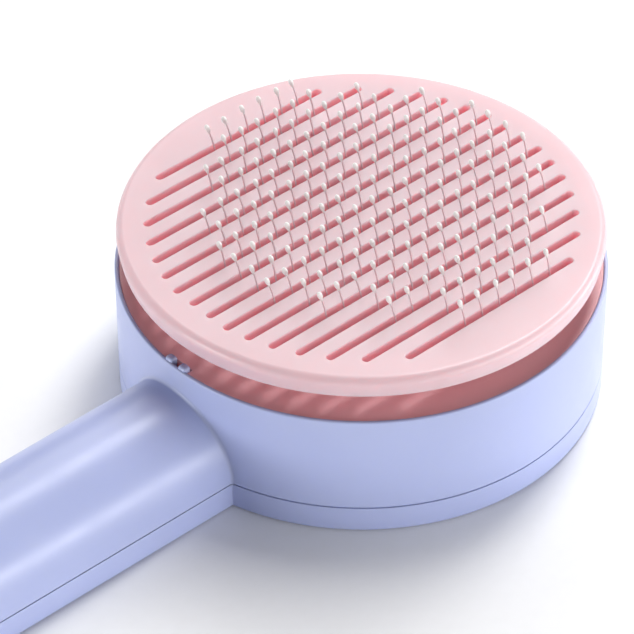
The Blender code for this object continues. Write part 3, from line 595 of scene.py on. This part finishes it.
def build_rear_cover(lavender):
    """Tray with eased edges, the button's opening, a tongue inside its rim and the screws' bosses."""
    levels = [(COVER_EASE * (1 - math.sin(a)), COVER_EASE * (1 - math.cos(a)))
              for a in (math.pi / 2 * i / 5 for i in range(6))]
    levels += [(0.0, COVER_HEIGHT - COVER_RIM_EASE), (COVER_RIM_EASE, COVER_HEIGHT), (SHELL, COVER_HEIGHT),
               (SHELL, SHELL)]
    bm = bmesh.new()
    outline_stack(bm, levels)
    cover = to_object("rear_cover_shell", bm, [lavender], 35.0)
    cutter_bm = bmesh.new()
    raised_outline(cutter_bm, circle(0, 0, BUTTON_OPENING, 160), -2.0, SHELL + 2.0)
    for x, y in HEAD_SCREWS + HANDLE_SCREWS:
        raised_outline(cutter_bm, circle(x, y, SCREW_HEAD_HOLE, 48), -2.0, SHELL + 2.0)
    cutter = to_object("cover_holes", cutter_bm, [lavender])
    cut_and_ease(cover, cutter, 0.25, 3, 60.0)
    bm = bmesh.new()
    outer, inner = SHELL + TONGUE_GAP, SHELL + TONGUE_GAP + TONGUE_WALL
    top, root = COVER_HEIGHT + TONGUE_RISE, SHELL - 0.5
    outline_stack(bm, [(outer, root), (outer, top - 0.2), (outer + 0.3, top), (inner, top), (inner, root)],
                  cap=False)
    boss = eased([(COVER_BOSS_RADIUS, COVER_BOSS_TOP, 0.2), (COVER_BOSS_RADIUS, SHELL / 2, 0.0),
                  (SCREW_HEAD_HOLE, SHELL / 2, 0.0), (SCREW_HEAD_HOLE, SCREW_SEAT_Z, 0.0),
                  (PILOT_RADIUS, SCREW_SEAT_Z, 0.0), (PILOT_RADIUS, COVER_BOSS_TOP, 0.2)])
    for x, y in HEAD_SCREWS + HANDLE_SCREWS:
        lathe(bm, boss, (x, y), 48)
    tongue = to_object("cover_tongue_and_bosses", bm, [lavender], 35.0)
    publish(cover, "body", "lavender_plastic", "rear_cover")
    publish(tongue, "body", "lavender_plastic")


def row_y(row):
    """Where a row lies, across the brush."""
    return (row - (len(ROW_COUNTS) - 1) / 2) * ROW_PITCH


def needle_xs(row):
    """Where the needles of a row stand, along the brush."""
    count = ROW_COUNTS[row]
    return [NEEDLE_FIELD_X + (i - (count - 1) / 2) * NEEDLE_PITCH for i in range(count)]


def slot_outline(row, width=SLOT_WIDTH, end_steps=14):
    """A slot with round ends, as long as the slotted circle lets it be."""
    y = row_y(row)
    reach = min(math.sqrt(SLOT_FIELD_RADIUS ** 2 - y ** 2), SLOT_MAX_HALF_LENGTH) - width / 2
    points = []
    for side in (1, -1):
        for i in range(end_steps + 1):
            angle = -side * math.pi / 2 + math.pi * i / end_steps
            points.append((side * reach + width / 2 * math.cos(angle), y + width / 2 * math.sin(angle)))
    return points


def build_cleaning_plate(pink, painted_slot_light):
    """Round plate with a slot over each row of needles, and the four posts that reach through the bed."""
    bm = bmesh.new()
    profile = eased([(0.0, PLATE_TOP, 0.0),
                     (PLATE_RADIUS + PLATE_CORNER_OVERHANG, PLATE_TOP, PLATE_CORNER_FILLET),
                     (PLATE_RADIUS - PLATE_DRAFT, PLATE_BOTTOM, 0.35), (0.0, PLATE_BOTTOM, 0.0)], 8)
    rim = profile[1:-1]
    rings = [[bm.verts.new(Vector((HEAD_X + r * math.cos(a), r * math.sin(a), z)) * MM)
              for a in (2 * math.pi * i / ROUND for i in range(ROUND))] for r, z in rim]
    skin_tube(bm, rings)
    plate = to_object("slotted_cleaning_plate", bm, [pink, painted_slot_light])
    cutter_bm = bmesh.new()
    for row in range(len(ROW_COUNTS)):
        raised_outline(cutter_bm, slot_outline(row), PLATE_BOTTOM - 1, PLATE_TOP + 1)
    # the slot faces take the slot material: a brighter, redder copy of the pink, painted light standing in
    # for the coral glow inside the slots
    cutter = to_object("plate_slots", cutter_bm, [painted_slot_light])
    cut_and_ease(plate, cutter, 0.4, 4, 50.0)
    bm = bmesh.new()
    head, pilot = POST_SHOULDER_Z + 3.0, POST_FOOT + POST_PILOT_DEPTH
    post = eased([(0.0, head, 0.0), (POST_SHOULDER_RADIUS, head, 0.4),
                  (POST_SHOULDER_RADIUS, POST_SHOULDER_Z, 0.3), (POST_RADIUS, POST_SHOULDER_Z, 0.0),
                  (POST_RADIUS, POST_FOOT, 0.3), (POST_PILOT_RADIUS, POST_FOOT, 0.0),
                  (POST_PILOT_RADIUS, pilot, 0.0), (0.0, pilot, 0.0)])
    for x, y in POSTS:
        lathe(bm, post, (x, y), 48)
        eased_block(bm, (x - RIB_REACH, y - RIB_HALF_WIDTH, POST_SHOULDER_Z + 2.5),
                    (x + RIB_REACH, y + RIB_HALF_WIDTH, PLATE_BOTTOM + 0.5), 0.3)
    posts = to_object("plate_posts", bm, [pink], 35.0)
    publish(plate, "ejector", "pink_plastic", "cleaning_plate")
    publish(posts, "ejector", "pink_plastic")


def build_needle_bed(pink, painted_slot_light):
    """Disc inside the rim: a slit under each row, holes for the plate's posts, and its own screw posts."""
    radius = DRUM_RADIUS - LIP_WALL - BED_GAP
    bm = bmesh.new()
    raised_outline(bm, circle(0, 0, radius, ROUND), BED_BOTTOM, BED_TOP)
    # the disc takes the lightened bed pink, painted light under the plate, and its cut openings take the
    # painted slot light
    bed = to_object("needle_bed_disc", bm, [pink, painted_slot_light])
    cutter_bm = bmesh.new()
    for row in range(len(ROW_COUNTS)):
        xs = needle_xs(row)
        y = row_y(row)
        raised_outline(cutter_bm, [(xs[0] - 0.6, y - 0.5), (xs[-1] + 0.6, y - 0.5), (xs[-1] + 0.6, y + 0.5),
                                   (xs[0] - 0.6, y + 0.5)], BED_BOTTOM - 1, BED_TOP + 1)
    notch = [(-DRUM_RADIUS, -BED_NOTCH_HALF_WIDTH), (BED_NOTCH_X, -BED_NOTCH_HALF_WIDTH),
             (BED_NOTCH_X, BED_NOTCH_HALF_WIDTH), (-DRUM_RADIUS, BED_NOTCH_HALF_WIDTH)]
    raised_outline(cutter_bm, notch, BED_BOTTOM - 1, BED_TOP + 1)
    for x, y in POSTS:
        raised_outline(cutter_bm, circle(x, y, BED_POST_HOLE, 40), BED_BOTTOM - 1, BED_TOP + 1)
    cutter = to_object("bed_openings", cutter_bm, [painted_slot_light])
    cut_and_ease(bed, cutter, 0.2, 2, 50.0)
    bm = bmesh.new()
    post = eased([(BED_POST_RADIUS, BED_BOTTOM + 0.2, 0.0), (BED_POST_RADIUS, BED_POST_FOOT, 0.2),
                  (PILOT_RADIUS, BED_POST_FOOT, 0.2), (PILOT_RADIUS, BED_BOTTOM + 0.2, 0.0)])
    for x, y in HEAD_SCREWS:
        lathe(bm, post, (x, y), 40)
    posts = to_object("bed_posts", bm, [pink], 35.0)
    publish(bed, "body", "pink_plastic", "needle_bed")
    publish(posts, "body", "pink_plastic")


def build_button(pink):
    """Cup with a dished face for the thumb and a flange that stops behind the cover."""
    radius, bore, flange, dish_radius, dish_depth, dish_steps = 15.0, 13.4, 17.0, 12.0, 0.7, 10
    floor, flange_top, flange_low = BUTTON_TOP - 7.4, 3.9, 2.3
    profile = eased([(0.0, floor, 0.0), (bore, floor, 0.4), (bore, BUTTON_TOP, 0.3),
                     (radius, BUTTON_TOP, 0.3), (radius, flange_top, 0.0),
                     (flange, flange_top, 0.3), (flange, flange_low, 0.2),
                     (radius, flange_low, 0.0), (radius, BUTTON_FACE, 0.6), (12.6, BUTTON_FACE, 0.8)])
    dish = [(dish_radius * (1 - t), BUTTON_FACE + dish_depth * math.sin(math.pi / 2 * t))
            for t in (i / dish_steps for i in range(1, dish_steps + 1))]
    bm = bmesh.new()
    lathe(bm, profile + dish, closed=False, steps=160)
    button = to_object("thumb_button", bm, [pink], 35.0)
    publish(button, "ejector", "pink_plastic", "push_button")


def build_needles(wire, epoxy):
    """Rows of hand-bent needles: each wire stands upright, bends towards the handle and ends in a bead."""
    rng = random.Random(16)
    wire_sides, bead_sides = 8, 14
    bend_z = PLATE_TOP - BEND_BELOW_TOP
    foot_z = BED_BOTTOM - 1.2
    for row in range(len(ROW_COUNTS)):
        bm = bmesh.new()
        y = row_y(row)
        for x in needle_xs(row):
            lean = NEEDLE_LEAN + rng.uniform(-0.35, 0.35)
            sway = rng.uniform(-0.3, 0.3)
            top = NEEDLE_TOP - 0.05 + rng.uniform(-0.25, 0.05)
            bead_size = TIP_DIAMETER / 2 * rng.uniform(0.92, 1.04)
            foot = (x + FOOT_SHIFT, y)
            add_needle(bm, foot, (lean, sway, top), (bend_z, foot_z), bead_size, wire_sides, bead_sides)
        xs = needle_xs(row)
        eased_block(bm, (xs[0] - STRIP_END, y - STRIP_HALF_WIDTH, BED_BOTTOM - STRIP_LOW),
                    (xs[-1] + STRIP_END, y + STRIP_HALF_WIDTH, BED_BOTTOM - STRIP_HIGH), 0.15)
        name = "needle_row_%02d" % (row + 1)
        needles = to_object("bent_" + name, bm, [wire, epoxy], 60.0, weld=False)
        publish(needles, "body", "needle_steel", name)


def add_needle(bm, foot, bend, heights, bead_size, wire_sides, bead_sides):
    """One needle: its wire from foot to neck, and the bead on its end."""
    lean, sway, top = bend
    bend_z, foot_z = heights
    rise = top - bend_z

    def axis_point(z):
        """The wire's middle: upright through the bed, then leaning over more and more."""
        t = max(0.0, (z - bend_z) / rise)
        push = t * (0.5 + 0.5 * t)
        return Vector((HEAD_X + foot[0] - lean * push, foot[1] + sway * push, z))

    def ring(z, radius, sides):
        step = 0.05
        along = (axis_point(z + step) - axis_point(z - step)).normalized()
        side = along.cross(Vector((0, 1, 0))).normalized()
        other = along.cross(side)
        centre = axis_point(z)
        return [bm.verts.new((centre + (side * math.cos(a) + other * math.sin(a)) * radius) * MM)
                for a in (2 * math.pi * i / sides for i in range(sides))]

    neck = top - TIP_LENGTH
    wire_heights = [foot_z, bend_z - 0.5] + [bend_z + (neck + 0.4 - bend_z) * i / 7 for i in range(8)]
    skin_tube(bm, [ring(z, NEEDLE_WIRE / 2, wire_sides) for z in wire_heights], WIRE_SLOT)
    bead = []
    bead_steps = 11
    for i in range(bead_steps + 1):
        s = i / bead_steps
        height = neck + TIP_LENGTH * (1 - math.cos(math.pi * s)) / 2
        # a drop: drawn out along the wire below, round above
        swell = math.sin(math.pi * s) * (0.34 + 0.66 * s) * 1.3
        radius = max(NEEDLE_WIRE / 2 * 1.15 if s < 0.5 else 0.02, bead_size * swell)
        bead.append(ring(height, radius, bead_sides))
    skin_tube(bm, bead, BEAD_SLOT)


def build_return_spring(finish):
    """Round wire coil with flat end turns, built at one length; the real coil shortens towards the backing
    plate as the plate lifts.
    """
    low, high = millimetres("return_spring")
    wire = SPRING_WIRE / 2
    coil_steps, wire_sides = 40, 12
    radius = (high[0] - low[0]) / 2 - wire
    bottom, top = low[2] + wire, high[2] - wire
    count = int(SPRING_TURNS * coil_steps) + 1
    centres = []
    for i in range(count):
        turn = i / coil_steps
        climb = min(1.0, max(0.0, (turn - 0.5) / (SPRING_TURNS - 1.0)))
        angle = 2 * math.pi * turn
        centres.append(Vector((HEAD_X + radius * math.cos(angle), radius * math.sin(angle),
                               bottom + (top - bottom) * climb)))
    bm = bmesh.new()
    rings = []
    for i, centre in enumerate(centres):
        along = (centres[min(i + 1, count - 1)] - centres[max(i - 1, 0)]).normalized()
        out = Vector((centre.x - HEAD_X, centre.y, 0)).normalized()
        up = along.cross(out)
        rings.append([bm.verts.new((centre + (out * math.cos(a) + up * math.sin(a)) * wire) * MM)
                      for a in (2 * math.pi * k / wire_sides for k in range(wire_sides))])
    skin_tube(bm, rings)
    spring = to_object("return_spring_coil", bm, [finish], 60.0)
    publish(spring, "body", "spring_steel", "return_spring")
    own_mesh(spring)


def dress_inner_parts(lavender, zinc):
    """The hidden working parts keep their CAD shape and get their own finish."""
    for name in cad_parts:
        if "screw" in name:
            finish = zinc
        elif name in ("ejector_frame", "needle_backing_plate"):
            finish = lavender
        else:
            continue
        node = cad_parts[name]
        node.data.materials.clear()
        node.data.materials.append(finish)


# ---- Studio --------------------------------------------------------------------------------------
def area_light(name, azimuth, elevation, distance, size, power):
    """Softbox aimed at the head: angles in degrees, distance and size in metres, power in watts."""
    data = bpy.data.lights.new(name, "AREA")
    data.shape = "RECTANGLE"
    data.size, data.size_y = size
    data.energy = power
    data.color = linear(WHITE)[:3]
    light = bpy.data.objects.new(name, data)
    a, e = math.radians(azimuth), math.radians(elevation)
    direction = Vector((math.cos(e) * math.cos(a), math.cos(e) * math.sin(a), math.sin(e)))
    target = Vector((HEAD_X, 0, LIGHT_TARGET_Z)) * MM
    light.location = target + direction * distance
    light.rotation_euler = direction.to_track_quat("Z", "Y").to_euler()
    bpy.context.scene.collection.objects.link(light)


def light_studio(paper):
    """White paper floor, even white surroundings and five softboxes."""
    bm = bmesh.new()
    bmesh.ops.create_grid(bm, x_segments=8, y_segments=8, size=3.0)
    floor = to_object("studio_floor", bm, [paper])
    floor.location.z = -FLOOR_GAP * MM
    world = bpy.data.worlds.new("white_studio")
    bpy.context.scene.world = world
    world.use_nodes = True
    background = world.node_tree.nodes["Background"]
    background.inputs["Color"].default_value = linear(WHITE)
    background.inputs["Strength"].default_value = WORLD_STRENGTH
    area_light("key_softbox", 20, 58, 1.3, (0.35, 0.95), 13.0)
    area_light("back_softbox", 44, 41, 1.3, (0.9, 0.6), 6.0)
    area_light("front_fill", -72, 6, 1.2, (1.2, 0.15), 10.0)
    area_light("left_strip", 165, 6, 1.2, (0.5, 0.15), 7.5)
    area_light("right_strip", -25, 6, 1.2, (0.5, 0.15), 4.0)
    bpy.context.scene.view_settings.view_transform = "Standard"


def main():
    place_camera()
    lavender = moulded_plastic("moulded_lavender_abs", "#B1BAE2", "#ADB6DF", 0.34, 0.15, (1.2, 1.5, 2.6))
    pink = moulded_plastic("moulded_pink_pp", "#DABDC3", "#D6B8BE", 0.36, 0.55, (10.0, 5.0, 4.8))
    # the bed's pink is lighter than the plate's: painted light for the bed's place in shade under the plate;
    # the button shares it
    painted_light_bed_pink = moulded_plastic("moulded_bed_pp_painted_light", "#FFC3C8", "#FBBDC2", 0.42, 0.15, (3.0, 1.5, 1.3))
    # slot walls: the same pink plastic, painted brighter and redder as the light that glows inside the slots
    # and the bed's openings
    painted_slot_light = moulded_plastic("moulded_slot_wall", "#FFC2C8", "#FCBCC2", 0.42, 1.0, (12.0, 5.2, 5.4))
    wire = drawn_steel_wire()
    epoxy = dipped_epoxy()
    zinc = plated_steel("zinc_plated_screw", "#8C8C88", "#C9C9C4", 0.3, 0.5)
    spring = plated_steel("oiled_spring_steel", "#5E5F63", "#9A9BA0", 0.25, 0.4)
    build_housing(lavender)
    build_rear_cover(lavender)
    build_cleaning_plate(pink, painted_slot_light)
    build_needle_bed(painted_light_bed_pink, painted_slot_light)
    build_button(painted_light_bed_pink)
    build_needles(wire, epoxy)
    build_return_spring(spring)
    dress_inner_parts(lavender, zinc)
    light_studio(studio_paper())


main()
